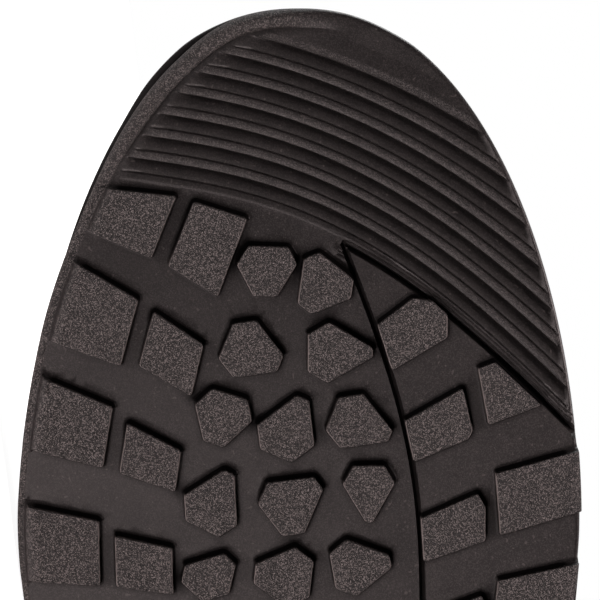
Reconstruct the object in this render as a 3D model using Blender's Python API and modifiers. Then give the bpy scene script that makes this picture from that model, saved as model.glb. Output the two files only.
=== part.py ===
"""Motorcycle boot lying on its lateral side: lugged outsole, midsole, insole and hollow upper.

The boot is worked out standing, in millimetres: x runs from the heel to the toe, y to the medial
side, z up from the ground. Meshes are made in metres and hang on an empty that lays the boot down.
On the tread a place is given by how far it lies behind the toe tip and how far across from the axis.
"""
import math
from collections import namedtuple

import bmesh
import bpy
from mathutils import Matrix, Vector

MM = 0.001
MERGE = 1e-6
BOOT_NAME = "motorcycle_boot"

# Sole plan
SOLE_LENGTH = 306.0
BALL_BEHIND_TOE = 103.0
BALL_LATERAL = 57.0
BALL_MEDIAL = 56.4
WAIST_X = 118.0
WAIST_LATERAL = 45.0
WAIST_MEDIAL = 37.0
HEEL_X = 45.0
HEEL_HALF_WIDTH = 40.5
HEEL_OFFSET = 3.0
TOE_LENGTH_POWER = {"lateral": 1.65, "medial": 1.9}
TOE_WIDTH_POWER = {"lateral": 2.35, "medial": 2.2}
HEEL_POWER = 2.3
OUTLINE_POINTS = 96

# Sole heights
LUG_HEIGHT = 3.6
TOE_SPRING = 8.5
SPRING_RUN = 95.0
FOREFOOT_THICKNESS = 5.0
HEEL_TOP = 22.0
HEEL_TOP_X = 70.0
FOREFOOT_TOP_X = 185.0
ARCH_RISE = 5.5
ARCH_HEEL_X = 80.0
ARCH_PEAK_X = 104.0
ARCH_FRONT_X = 166.0
MIDSOLE_THICKNESS = 5.0
INSOLE_THICKNESS = 4.0
GAP = 0.3

# Sole edge
EDGE_CHAMFER = 0.9
EDGE_LEAN = 0.6
OUTSOLE_STEP = 0.8
MIDSOLE_LIP = 0.4
STEP_FULL_BEHIND = 34.0
STEP_GONE_BEHIND = 75.0
STEP_GONE_MEDIAL = 8.0
BEND_STEP = 10.0

# Tread
DRAFT = 0.4
RIM_AT_TOE = 3.4
RIM_AT_BALL = 1.4
RIM_WIDENS = 1.6
LUG_SINK = 1.0
LUG_PROUD = 0.4
RIB_COUNT = 7
RIB_RAMP_SHARE = 0.66
RIB_DEPTH = 1.3
RIB_WALL_LEAN = 0.25
RIB_SOFT_END = 6.0
RIB_STATION_STEP = 5.0
RIB_START_STEP = 0.5
RIB_END_DEPTH_SHARE = 0.15
PLATE_RISE = 0.8
PLATE_BACK_BEHIND = 138.0
PLATE_LIP = 1.0
PLATE_EDGE_POINTS = 8
SEAM_WIDTH = 0.9
SEAM_DEPTH = 1.2
CUT_CLEAR = 0.5

# Upper
WALL = 2.8
UPPER_INSET = 3.6
INSOLE_CLEAR = 1.8
RING_POINTS = 48
RING_STEPS = 2
FEATHER_RISE = 0.5
TRIM_RISE = 4.0

# How the boot lies
LIE_YAW = math.radians(7.126)
LIE_ROLL = math.radians(-1.302)

# A rib's heel-side edge: where the last rib crosses each station, and the pitch of the ribs there
RibStation = namedtuple("RibStation", "across last_behind pitch")
RIB_STATIONS = [
    RibStation(-46.0, 27.9, 4.6),
    RibStation(-30.0, 30.0, 4.7),
    RibStation(-16.0, 32.8, 4.8),
    RibStation(0.0, 37.6, 4.9),
    RibStation(14.0, 43.7, 5.1),
    RibStation(28.0, 53.1, 5.5),
    RibStation(42.0, 65.0, 6.1),
    RibStation(58.0, 80.0, 6.6),
]

# Guide lines of the block columns: distance in from the sole's own edge, at the front and at the ball
Guide = namedtuple("Guide", "at_front at_ball")
GUIDE_FRONT_BEHIND = 36.0
GUIDE_BALL_BEHIND = 116.0
GUIDES = {
    "rim": Guide(RIM_AT_TOE, RIM_AT_BALL),
    "lateral_outer": Guide(18.4, 16.0),
    "lateral_inner_start": Guide(22.6, 19.4),
    "lateral_inner_end": Guide(34.6, 30.6),
    "medial_outer_start": Guide(20.0, 15.4),
    "medial_edge": Guide(-LUG_PROUD, -LUG_PROUD),
}

# Blocks of the side columns: behind the toe at the four corners
Block = namedtuple("Block", "front_outer front_inner back_inner back_outer")
LATERAL_OUTER_BLOCKS = [
    Block(35.3, 37.3, 49.5, 42.5),
    Block(48.6, 57.9, 71.1, 65.0),
    Block(72.4, 79.5, 91.6, 87.4),
    Block(99.1, 102.6, 115.7, 114.7),
    Block(123.0, 124.5, 136.5, 136.5),
]
LATERAL_INNER_BLOCKS = [
    Block(38.4, 41.7, 57.2, 51.1),
    Block(60.4, 66.9, 77.1, 71.1),
    Block(82.8, 88.3, 96.5, 92.7),
    Block(105.7, 108.1, 117.5, 115.9),
    Block(125.0, 126.0, 136.5, 136.5),
]
MEDIAL_OUTER_BLOCKS = [
    Block(88.2, 92.9, 105.3, 100.4),
    Block(111.2, 114.7, 125.5, 124.0),
]

# Blocks beside the seam, and the one cut off by the ribs: corner places behind the toe and across
Corner = namedtuple("Corner", "behind across")
SEAM_BLOCKS = [
    [Corner(62.9, 15.6), Corner(57.6, 22.6), Corner(58.2, 26.4), Corner(61.0, 29.4), Corner(65.4, 29.4),
     Corner(71.9, 18.5)],
    [Corner(82.2, 21.1), Corner(75.7, 32.6), Corner(84.2, 34.5), Corner(85.8, 33.7), Corner(90.4, 22.9)],
    [Corner(102.0, 24.4), Corner(97.0, 35.7), Corner(99.6, 37.2), Corner(106.5, 37.2), Corner(110.8, 25.0)],
    [Corner(122.0, 25.3), Corner(117.8, 36.6), Corner(120.0, 37.6), Corner(127.0, 36.4), Corner(130.5, 25.3)],
    [Corner(71.7, 35.8), Corner(70.6, 38.6), Corner(79.4, 47.6), Corner(82.9, 37.9)],
]

# Centre lugs: triangles of equal sides with cut corners, each turned its own way
CentreLug = namedtuple("CentreLug", "behind across side turn cut_1 cut_2 cut_3")
CENTRE_LUGS = [
    CentreLug(51.9, -6.8, 15.9, 88, 3.7, 4.5, 4.3),
    CentreLug(54.9, 4.7, 15.5, 52, 3.8, 3.4, 3.1),
    CentreLug(68.1, -10.3, 16.9, 38, 3.5, 4.8, 4.6),
    CentreLug(68.4, 6.5, 16.6, 60, 1.8, 4.4, 4.7),
    CentreLug(81.3, -15.6, 16.2, 73, 4.4, 4.1, 4.6),
    CentreLug(82.5, 11.0, 16.5, 39, 2.3, 4.7, 4.8),
    CentreLug(84.8, -2.5, 17.2, 7, 5.6, 4.9, 2.5),
    CentreLug(99.6, -17.8, 16.7, 3, 4.3, 5.1, 2.2),
    CentreLug(99.2, -2.1, 17.0, 97, 3.0, 4.3, 4.7),
    CentreLug(95.5, 13.8, 14.4, 91, 4.1, 1.2, 4.2),
    CentreLug(114.5, -18.1, 14.7, 107, 3.2, 5.4, 3.5),
    CentreLug(114.0, -2.7, 17.0, 113, 4.6, 5.0, 4.0),
    CentreLug(112.0, 11.2, 15.9, 70, 2.5, 4.4, 4.3),
    CentreLug(128.5, -14.0, 15.5, 20, 4.0, 4.6, 3.4),
    CentreLug(129.0, 2.4, 16.5, 84, 3.2, 4.4, 4.6),
    CentreLug(126.0, 17.6, 13.5, 41, 3.0, 4.2, 4.4),
]

# Where the medial plate meets the sole's edge, and the seam beside it
PLATE_TIP = Corner(86.5, 55.0)
SEAM = [
    Corner(47.0, 8.6),
    Corner(58.3, 12.7),
    Corner(64.5, 15.4),
    Corner(74.8, 18.7),
    Corner(84.9, 21.1),
    Corner(93.0, 22.8),
    Corner(102.0, 24.0),
    Corner(112.7, 24.6),
    Corner(PLATE_BACK_BEHIND, 24.9),
]

# Heel tread: rows of blocks, each row across the outline in three
HEEL_ROWS = [(9.0, 21.0), (25.0, 41.0), (45.0, 59.0), (63.0, 76.0)]
HEEL_COLUMNS = [(-0.94, -0.42), (-0.32, 0.32), (0.42, 0.94)]

# Sections of the upper, from the feather edge to the collar. `sole` is how far a section still follows
# the sole: its plan at the given inset, and its height at the given rise above the midsole. The rest of
# it is a free oval, tilted between its back and its front height.
Section = namedtuple("Section", "sole inset rise back_z front_z back front lateral medial widest")
SECTIONS = [
    Section(1.00, UPPER_INSET, FEATHER_RISE, 0, 0, 4, 302, 50, 50, 0.66),
    Section(1.00, UPPER_INSET, TRIM_RISE, 0, 0, 4, 302, 50, 50, 0.66),
    Section(1.00, 2.6, 11.0, 0, 0, 3, 303, 50, 50, 0.66),
    Section(1.00, 3.4, 20.0, 50, 46, 3, 302, 50, 50, 0.66),
    Section(0.72, 5.0, 29.0, 60, 53, 3, 293, 46, 48, 0.66),
    Section(0.38, 9.0, 38.0, 70, 60, 5, 279, 42, 45, 0.60),
    Section(0.14, 13.0, 46.0, 80, 67, 7, 259, 39, 42, 0.50),
    Section(0.00, 16.0, 52.0, 90, 76, 10, 236, 36, 41, 0.42),
    Section(0.00, 16.0, 52.0, 101, 87, 13, 212, 35, 41, 0.40),
    Section(0.00, 16.0, 52.0, 114, 101, 15, 190, 35, 41, 0.42),
    Section(0.00, 16.0, 52.0, 129, 119, 16, 172, 36, 42, 0.46),
    Section(0.00, 16.0, 52.0, 146, 140, 15, 159, 38, 44, 0.50),
    Section(0.00, 16.0, 52.0, 168, 166, 12, 151, 40, 46, 0.50),
    Section(0.00, 16.0, 52.0, 200, 201, 8, 146, 42, 48, 0.50),
    Section(0.00, 16.0, 52.0, 236, 240, 5, 143, 44, 50, 0.50),
    Section(0.00, 16.0, 52.0, 270, 276, 2, 141, 46, 52, 0.50),
    Section(0.00, 16.0, 52.0, 300, 308, 1, 140, 47, 53, 0.50),
]
OVAL_POWER = 2.25


def clear_scene():
    for item in list(bpy.data.objects):
        bpy.data.objects.remove(item, do_unlink=True)


def ease(start, end, share):
    """Half a cosine wave from start to end."""
    share = min(max(share, 0.0), 1.0)
    return start + (end - start) * (1.0 - math.cos(math.pi * share)) / 2.0


def between(value, low, high):
    return (value - low) / (high - low)


# Sole plan and heights

def half_width(x, side):
    """Distance from the sole's centre line to its edge on one side."""
    ball = BALL_LATERAL if side == "lateral" else BALL_MEDIAL
    waist = WAIST_LATERAL if side == "lateral" else WAIST_MEDIAL
    ball_x = SOLE_LENGTH - BALL_BEHIND_TOE
    if x >= ball_x:
        share = min(between(x, ball_x, SOLE_LENGTH), 1.0)
        return ball * (1.0 - share ** TOE_LENGTH_POWER[side]) ** (1.0 / TOE_WIDTH_POWER[side])
    if x >= WAIST_X:
        return ease(waist, ball, between(x, WAIST_X, ball_x))
    if x >= HEEL_X:
        return ease(HEEL_HALF_WIDTH, waist, between(x, HEEL_X, WAIST_X))
    share = min(between(x, HEEL_X, 0.0), 1.0)
    return HEEL_HALF_WIDTH * (1.0 - share ** HEEL_POWER) ** (1.0 / HEEL_POWER)


def centre_line(x):
    return ease(HEEL_OFFSET, 0.0, between(x, HEEL_X, SOLE_LENGTH - BALL_BEHIND_TOE))


def edge(x, side):
    """The sole's edge across from the axis, negative on the lateral side."""
    sign = -1.0 if side == "lateral" else 1.0
    return centre_line(x) + sign * half_width(x, side)


def sole_loop(count):
    """The sole's outline from the back of the heel along the lateral side to the toe and back."""
    loop = []
    for index in range(count):
        angle = 2.0 * math.pi * index / count
        x = SOLE_LENGTH * (1.0 - math.cos(angle)) / 2.0
        side = "lateral" if index <= count // 2 else "medial"
        loop.append(Vector((x, edge(x, side))))
    return loop


def offset_loop(loop, distance):
    """Moves each edge of a counter-clockwise loop outwards by the distance."""
    moved = []
    for index, point in enumerate(loop):
        before = (point - loop[index - 1]).normalized()
        after = (loop[(index + 1) % len(loop)] - point).normalized()
        first = Vector((before.y, -before.x))
        second = Vector((after.y, -after.x))
        mitre = (first + second) / (1.0 + first.dot(second))
        moved.append(point + mitre * distance)
    return moved


def step_share(point, lateral):
    """How far the step between outsole and midsole shows: along the lateral side of the toe."""
    behind = SOLE_LENGTH - point.x
    if lateral:
        return ease(1.0, 0.0, between(behind, STEP_FULL_BEHIND, STEP_GONE_BEHIND))
    return ease(1.0, 0.0, behind / STEP_GONE_MEDIAL)


def stepped_loop(plain, at_step):
    """The sole's outline, moved out by one distance where the step shows and by another elsewhere."""
    loop = sole_loop(OUTLINE_POINTS)
    near = offset_loop(loop, plain)
    far = offset_loop(loop, at_step)
    shares = [step_share(point, index <= OUTLINE_POINTS // 2) for index, point in enumerate(loop)]
    return [low.lerp(high, share) for low, high, share in zip(near, far, shares)]


def spring(x):
    share = max(between(x, SOLE_LENGTH - SPRING_RUN, SOLE_LENGTH), 0.0)
    return TOE_SPRING * share ** 2


def arch(x):
    if x < ARCH_PEAK_X:
        return ease(0.0, ARCH_RISE, between(x, ARCH_HEEL_X, ARCH_PEAK_X))
    return ease(ARCH_RISE, 0.0, between(x, ARCH_PEAK_X, ARCH_FRONT_X))


def tread_base(x):
    """Height of the smooth tread between the lugs."""
    return LUG_HEIGHT + spring(x) + arch(x)


def outsole_top(x):
    forefoot = LUG_HEIGHT + FOREFOOT_THICKNESS + spring(x)
    return ease(HEEL_TOP, forefoot, between(x, HEEL_TOP_X, FOREFOOT_TOP_X))


def midsole_top(x):
    return outsole_top(x) + GAP + MIDSOLE_THICKNESS


# Mesh helpers

def add_loft(mesh, rings, capped):
    """Joins rings of equal count with quads, and closes the two ends where asked."""
    rows = [[mesh.verts.new(point) for point in ring] for ring in rings]
    count = len(rows[0])
    for low, high in zip(rows, rows[1:]):
        for index in range(count):
            after = (index + 1) % count
            mesh.faces.new((low[index], low[after], high[after], high[index]))
    if capped:
        mesh.faces.new(reversed(rows[0]))
        mesh.faces.new(rows[-1])
    return mesh


def lift(loop, z):
    return [Vector((point.x, point.y, z)) for point in loop]


def new_piece(name, mesh, collection, material=None):
    """Makes an object in metres from a mesh in millimetres."""
    bmesh.ops.recalc_face_normals(mesh, faces=mesh.faces[:])
    bmesh.ops.scale(mesh, vec=(MM, MM, MM), verts=mesh.verts[:])
    data = bpy.data.meshes.new(name)
    mesh.to_mesh(data)
    mesh.free()
    if material:
        data.materials.append(material)
    piece = bpy.data.objects.new(name, data)
    collection.objects.link(piece)
    return piece


def new_cutter(name, mesh, collection):
    cutter = new_piece(name, mesh, collection)
    cutter.hide_render = True
    cutter.display_type = "WIRE"
    return cutter


def apply_boolean(piece, tool, operation):
    modifier = piece.modifiers.new(tool.name, "BOOLEAN")
    modifier.operation = operation
    modifier.solver = "EXACT"
    modifier.object = tool
    graph = bpy.context.evaluated_depsgraph_get()
    joined = bpy.data.meshes.new_from_object(piece.evaluated_get(graph))
    piece.modifiers.clear()
    piece.data = joined


def bend(piece, height_at):
    """Cuts the piece across its length and moves each point to the height for its x."""
    mesh = bmesh.new()
    mesh.from_mesh(piece.data)
    station = BEND_STEP
    while station < SOLE_LENGTH:
        geometry = mesh.verts[:] + mesh.edges[:] + mesh.faces[:]
        cut = Vector((station * MM, 0.0, 0.0))
        bmesh.ops.bisect_plane(mesh, geom=geometry, plane_co=cut, plane_no=(1, 0, 0), dist=MERGE)
        station += BEND_STEP
    bmesh.ops.triangulate(mesh, faces=mesh.faces[:])
    for vertex in mesh.verts:
        vertex.co.z = height_at(vertex.co.x / MM, vertex.co.z / MM) * MM
    bmesh.ops.dissolve_degenerate(mesh, dist=MERGE, edges=mesh.edges[:])
    mesh.to_mesh(piece.data)
    mesh.free()


def new_material(name, colour, roughness):
    material = bpy.data.materials.new(name)
    material.use_nodes = True
    shader = material.node_tree.nodes["Principled BSDF"]
    shader.inputs["Base Color"].default_value = (*colour, 1.0)
    shader.inputs["Roughness"].default_value = roughness
    shader.inputs["Metallic"].default_value = 0.0
    return material


# Tread

def place(behind, across):
    return Vector((SOLE_LENGTH - behind, across))


def counter_clockwise(loop):
    area = sum(a.x * b.y - b.x * a.y for a, b in zip(loop, loop[1:] + loop[:1]))
    return loop if area > 0 else loop[::-1]


def guide_place(behind, guide, side):
    """A point on a column's guide line, which runs along the sole's edge."""
    share = between(behind, GUIDE_FRONT_BEHIND, GUIDE_BALL_BEHIND)
    inset = GUIDES[guide].at_front + share * (GUIDES[guide].at_ball - GUIDES[guide].at_front)
    sign = 1.0 if side == "lateral" else -1.0
    return place(behind, edge(SOLE_LENGTH - behind, side) + sign * inset)


def column_outlines(blocks, outer, inner, side):
    for block in blocks:
        yield [
            guide_place(block.front_outer, outer, side),
            guide_place(block.front_inner, inner, side),
            guide_place(block.back_inner, inner, side),
            guide_place(block.back_outer, outer, side),
        ]


def centre_outline(lug):
    """A triangle turned about its middle, with each corner cut off."""
    middle = place(lug.behind, lug.across)
    radius = lug.side / math.sqrt(3.0)
    corners = []
    for index in range(3):
        angle = math.radians(lug.turn - 60.0 - 120.0 * index)
        corners.append(middle + radius * Vector((math.sin(angle), math.cos(angle))))
    outline = []
    for index, cut in enumerate((lug.cut_1, lug.cut_2, lug.cut_3)):
        corner = corners[index]
        for neighbour in (corners[index - 1], corners[(index + 1) % 3]):
            outline.append(corner + (neighbour - corner).normalized() * cut)
    return outline


def heel_outlines():
    for back, front in HEEL_ROWS:
        for low, high in HEEL_COLUMNS:
            corners = []
            for x, share in ((back, low), (front, low), (front, high), (back, high)):
                side = "lateral" if share < 0 else "medial"
                corners.append(Vector((x, centre_line(x) + share * half_width(x, side))))
            yield corners


def lug_outlines():
    yield from column_outlines(LATERAL_OUTER_BLOCKS, "rim", "lateral_outer", "lateral")
    yield from column_outlines(LATERAL_INNER_BLOCKS, "lateral_inner_start", "lateral_inner_end", "lateral")
    yield from column_outlines(MEDIAL_OUTER_BLOCKS, "medial_edge", "medial_outer_start", "medial")
    for corners in SEAM_BLOCKS:
        yield [place(corner.behind, corner.across) for corner in corners]
    for lug in CENTRE_LUGS:
        yield centre_outline(lug)
    yield from heel_outlines()


def lugs_mesh():
    mesh = bmesh.new()
    for outline in lug_outlines():
        top = counter_clockwise(outline)
        foot = offset_loop(top, DRAFT)
        add_loft(mesh, [lift(top, -LUG_HEIGHT), lift(foot, 0.0), lift(foot, LUG_SINK)], capped=True)
    return mesh


def rib_station(across):
    """The last rib's place and the pitch at a distance across, on a straight run between stations."""
    for low, high in zip(RIB_STATIONS, RIB_STATIONS[1:]):
        if across <= high.across:
            share = between(across, low.across, high.across)
            last = low.last_behind + share * (high.last_behind - low.last_behind)
            return last, low.pitch + share * (high.pitch - low.pitch)
    return RIB_STATIONS[-1].last_behind, RIB_STATIONS[-1].pitch


def rib_edge(number, across):
    last, pitch = rib_station(across)
    return last - (RIB_COUNT - 1 - number) * pitch


def rib_start(number):
    """How far across a groove begins, at the inner edge of the rim."""
    rim = RIM_AT_TOE + RIM_WIDENS * (RIB_COUNT - 1 - number)
    across = RIB_STATIONS[0].across
    while across < edge(SOLE_LENGTH - max(rib_edge(number, across), 0.0), "lateral") + rim:
        across += RIB_START_STEP
    return across


def grooves_mesh():
    """Each groove drops straight behind its rib and rises in a ramp to the next one."""
    mesh = bmesh.new()
    end = RIB_STATIONS[-1].across
    for number in range(RIB_COUNT):
        start = rib_start(number)
        count = math.ceil((end - start) / RIB_STATION_STEP)
        rings = []
        for index in range(count + 1):
            across = start + (end - start) * index / count
            depth = RIB_DEPTH * min(RIB_END_DEPTH_SHARE + (across - start) / RIB_SOFT_END, 1.0)
            behind = rib_edge(number, across)
            ramp = RIB_RAMP_SHARE * rib_station(across)[1]
            rings.append([
                place(behind, across).to_3d() + Vector((0.0, 0.0, -CUT_CLEAR)),
                place(behind + RIB_WALL_LEAN, across).to_3d() + Vector((0.0, 0.0, depth)),
                place(behind + ramp, across).to_3d(),
                place(behind + ramp, across).to_3d() + Vector((0.0, 0.0, -CUT_CLEAR)),
            ])
        add_loft(mesh, rings, capped=True)
    return mesh


def plate_mesh():
    """The raised medial plate, between the seam, the last rib and the sole's edge."""
    outline = [place(corner.behind, corner.across + SEAM_WIDTH / 2.0) for corner in reversed(SEAM)]
    for station in RIB_STATIONS:
        if outline[-1].y < station.across <= PLATE_TIP.across:
            outline.append(place(station.last_behind + station.pitch + PLATE_LIP, station.across))
    for index in range(PLATE_EDGE_POINTS + 1):
        share = index / PLATE_EDGE_POINTS
        behind = PLATE_TIP.behind + share * (PLATE_BACK_BEHIND - PLATE_TIP.behind)
        outline.append(place(behind, edge(SOLE_LENGTH - behind, "medial") - EDGE_CHAMFER))
    top = counter_clockwise(outline)
    mesh = bmesh.new()
    return add_loft(mesh, [lift(top, -PLATE_RISE), lift(top, LUG_SINK)], capped=True)


def seam_mesh():
    """The groove beside the plate."""
    rings = []
    for corner in SEAM:
        ring = []
        for shift, z in ((-0.5, -CUT_CLEAR), (0.5, -CUT_CLEAR), (0.5, SEAM_DEPTH), (-0.5, SEAM_DEPTH)):
            spot = place(corner.behind, corner.across + shift * SEAM_WIDTH)
            ring.append(spot.to_3d() + Vector((0.0, 0.0, z)))
        rings.append(ring)
    mesh = bmesh.new()
    return add_loft(mesh, rings, capped=True)


# Pieces

def make_outsole(parts, cutters, material):
    """A flat slab with its grooves and lugs, bent to the toe spring, arch and heel."""
    loop = stepped_loop(0.0, -OUTSOLE_STEP)
    slab = bmesh.new()
    rings = [
        lift(offset_loop(loop, -EDGE_CHAMFER), 0.0),
        lift(loop, EDGE_CHAMFER),
        lift(offset_loop(loop, -EDGE_LEAN), FOREFOOT_THICKNESS),
    ]
    outsole = new_piece("outsole", add_loft(slab, rings, capped=True), parts, material)
    apply_boolean(outsole, new_cutter("rib_grooves", grooves_mesh(), cutters), "DIFFERENCE")
    apply_boolean(outsole, new_cutter("medial_plate", plate_mesh(), cutters), "UNION")
    apply_boolean(outsole, new_cutter("seam_groove", seam_mesh(), cutters), "DIFFERENCE")
    apply_boolean(outsole, new_cutter("lugs", lugs_mesh(), cutters), "UNION")

    def height_at(x, z):
        if z <= 0.0:
            return tread_base(x) + z
        return tread_base(x) + z / FOREFOOT_THICKNESS * (outsole_top(x) - tread_base(x))

    bend(outsole, height_at)
    return outsole


def make_plate(name, loop, thickness, under, parts, material):
    """A plate of even thickness that follows the sole."""
    flat = bmesh.new()
    add_loft(flat, [lift(loop, 0.0), lift(loop, thickness)], capped=True)
    piece = new_piece(name, flat, parts, material)
    bend(piece, lambda x, z: under(x) + GAP + z)
    return piece


def smooth_rows(rows, steps):
    """Runs a smooth curve through each column of a table."""
    result = []
    last = len(rows) - 1
    for index in range(last):
        window = [rows[max(index - 1, 0)], rows[index], rows[index + 1], rows[min(index + 2, last)]]
        for step in range(steps):
            t = step / steps
            values = []
            for a, b, c, d in zip(*window):
                values.append(0.5 * (2 * b + (c - a) * t + (2 * a - 5 * b + 4 * c - d) * t ** 2
                                     + (3 * b - a - 3 * c + d) * t ** 3))
            result.append(Section(*values))
    result.append(rows[-1])
    return result


def oval_point(section, angle):
    """A point of a section's free oval, from its back round the lateral side."""
    widest = section.back + section.widest * (section.front - section.back)
    along = -math.cos(angle)
    reach = section.front - widest if along > 0 else widest - section.back
    x = widest + reach * math.copysign(abs(along) ** (2.0 / OVAL_POWER), along)
    side = section.lateral if angle < math.pi else section.medial
    sign = -1.0 if angle < math.pi else 1.0
    middle = centre_line(x)
    y = middle + sign * (side - sign * middle) * abs(math.sin(angle)) ** (2.0 / OVAL_POWER)
    z = section.back_z + (section.front_z - section.back_z) * between(x, section.back, section.front)
    return Vector((x, y, z))


def upper_rings():
    loop = sole_loop(RING_POINTS)
    rings = []
    for section in smooth_rows(SECTIONS, RING_STEPS):
        foot = offset_loop(loop, -section.inset)
        ring = []
        for index in range(RING_POINTS):
            free = oval_point(section, 2.0 * math.pi * index / RING_POINTS)
            low = foot[index].to_3d()
            low.z = midsole_top(low.x) + section.rise
            ring.append(free.lerp(low, section.sole))
        rings.append(ring)
    return rings


def make_upper(parts, material):
    """One hollow wall, open underneath and at the collar."""
    shell = add_loft(bmesh.new(), upper_rings(), capped=False)
    upper = new_piece("upper", shell, parts, material)
    upper.data.shade_smooth()
    wall = upper.modifiers.new("wall", "SOLIDIFY")
    wall.thickness = WALL * MM
    wall.offset = -1.0
    wall.use_even_offset = True
    wall.use_rim = True
    return upper


def lay_down(pieces):
    """Lays the standing boot on its lateral side: sole towards -Y, toe towards -X."""
    support = bpy.data.objects.new("boot_lie", None)
    bpy.context.scene.collection.objects.link(support)
    on_side = Matrix(((-1, 0, 0), (0, 0, 1), (0, 1, 0)))
    turn = on_side @ Matrix.Rotation(LIE_ROLL, 3, "X") @ Matrix.Rotation(LIE_YAW, 3, "Z")
    support.rotation_mode = "QUATERNION"
    support.rotation_quaternion = turn.to_quaternion()
    for piece in pieces:
        piece.parent = support
    bpy.context.view_layer.update()
    graph = bpy.context.evaluated_depsgraph_get()
    points = []
    for piece in pieces:
        shown = piece.evaluated_get(graph)
        points += [shown.matrix_world @ vertex.co for vertex in shown.data.vertices]
    low = [min(point[axis] for point in points) for axis in range(3)]
    high = [max(point[axis] for point in points) for axis in range(3)]
    support.location = (-(low[0] + high[0]) / 2.0, -(low[1] + high[1]) / 2.0, -low[2])


def main():
    clear_scene()
    parts = bpy.data.collections.new(BOOT_NAME)
    cutters = bpy.data.collections.new("cutters")
    for collection in (parts, cutters):
        bpy.context.scene.collection.children.link(collection)
    rubber = new_material("outsole_rubber", (0.048, 0.043, 0.042), 0.62)
    midsole_rubber = new_material("midsole_rubber", (0.040, 0.038, 0.038), 0.70)
    board = new_material("insole_board", (0.16, 0.13, 0.10), 0.90)
    leather = new_material("black_leather", (0.022, 0.020, 0.019), 0.48)
    outsole = make_outsole(parts, cutters, rubber)
    outer = stepped_loop(-EDGE_LEAN, MIDSOLE_LIP)
    midsole = make_plate("midsole", outer, MIDSOLE_THICKNESS, outsole_top, parts, midsole_rubber)
    inner = offset_loop(sole_loop(OUTLINE_POINTS), -(UPPER_INSET + WALL + INSOLE_CLEAR))
    insole = make_plate("insole", inner, INSOLE_THICKNESS, midsole_top, parts, board)
    upper = make_upper(parts, leather)
    lay_down([outsole, midsole, insole, upper])


main()
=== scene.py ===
"""Looks of the motorcycle boot: moulded tread, midsole edge, footbed, grained leather upper.

Shapes are worked out standing, in millimetres, as in the part's source: x from heel to toe, y to the
medial side, z up from the ground. BOOT_TO_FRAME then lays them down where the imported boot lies.
On the tread a place is given by how far it lies behind the toe tip and how far across from the axis.
"""
import math
from collections import namedtuple

import bmesh
import bpy
import numpy as np
from mathutils import Matrix, Vector
from mathutils.geometry import delaunay_2d_cdt
from mathutils.kdtree import KDTree


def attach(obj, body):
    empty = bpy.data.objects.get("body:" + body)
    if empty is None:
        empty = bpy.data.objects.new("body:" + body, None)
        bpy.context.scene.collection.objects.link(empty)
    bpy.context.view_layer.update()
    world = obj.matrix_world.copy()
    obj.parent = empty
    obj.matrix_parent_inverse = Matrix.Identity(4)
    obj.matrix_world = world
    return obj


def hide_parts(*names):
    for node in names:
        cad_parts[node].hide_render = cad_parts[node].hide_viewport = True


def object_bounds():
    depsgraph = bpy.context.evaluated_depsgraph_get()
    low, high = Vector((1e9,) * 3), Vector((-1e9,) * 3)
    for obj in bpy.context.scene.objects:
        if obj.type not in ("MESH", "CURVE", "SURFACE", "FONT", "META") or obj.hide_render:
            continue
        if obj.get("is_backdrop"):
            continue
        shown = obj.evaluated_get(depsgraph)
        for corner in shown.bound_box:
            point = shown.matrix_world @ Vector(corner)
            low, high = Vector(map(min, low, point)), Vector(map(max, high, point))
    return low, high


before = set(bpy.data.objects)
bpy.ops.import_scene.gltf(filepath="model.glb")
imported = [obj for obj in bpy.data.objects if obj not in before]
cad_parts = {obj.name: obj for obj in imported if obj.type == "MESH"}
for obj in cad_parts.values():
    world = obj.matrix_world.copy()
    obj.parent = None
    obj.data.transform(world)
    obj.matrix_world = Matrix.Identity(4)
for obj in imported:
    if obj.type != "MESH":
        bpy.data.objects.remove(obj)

CAD_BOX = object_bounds()
MM = 0.001
MERGE = 1e-4


def table(columns, *rows):
    """Rows of values whose columns have names."""
    row_type = namedtuple("Row", columns)
    return [row_type(*row) for row in rows]


def column_of(rows, name):
    return [getattr(row, name) for row in rows]


def look_up(rows, value, key, wanted):
    """Reads one column of a table at values of another, in straight lines between its rows."""
    return np.interp(value, column_of(rows, key), column_of(rows, wanted))


# How the boot lies in the frame
LIE_YAW = math.radians(7.126)
LIE_ROLL = math.radians(-1.302)
LIE_PLACE = Vector((151.788, -152.923, 32.091)) * MM

# Sole plan
SOLE_LENGTH = 306.0
BALL_BEHIND_TOE = 103.0
BALL_X = SOLE_LENGTH - BALL_BEHIND_TOE
SIDES = ("lateral", "medial")
BALL = {"lateral": 57.0, "medial": 56.4}
WAIST_X = 118.0
WAIST = {"lateral": 45.0, "medial": 37.0}
HEEL_X = 45.0
HEEL_HALF_WIDTH = 40.5
HEEL_OFFSET = 3.0
TOE_LENGTH_POWER = {"lateral": 1.65, "medial": 1.9}
TOE_WIDTH_POWER = {"lateral": 2.35, "medial": 2.2}
HEEL_POWER = 2.3
OUTLINE_POINTS = 1000

# Sole heights, and the rounded edges of its plates
LUG_HEIGHT = 3.6
TOE_SPRING = 8.5
SPRING_RUN = 95.0
FOREFOOT_THICKNESS = 5.0
HEEL_TOP = 22.0
HEEL_TOP_X = 70.0
FOREFOOT_TOP_X = 185.0
ARCH_RISE = 5.5
ARCH_HEEL_X = 80.0
ARCH_PEAK_X = 104.0
ARCH_FRONT_X = 166.0
MIDSOLE_THICKNESS = 5.0
MIDSOLE_ROUND = 0.8
INSOLE_THICKNESS = 4.0
INSOLE_ROUND = 1.2
PLATE_RING_INSET = 6.0
ROUND_MIDDLE = 0.3
GAP = 0.3

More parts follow.
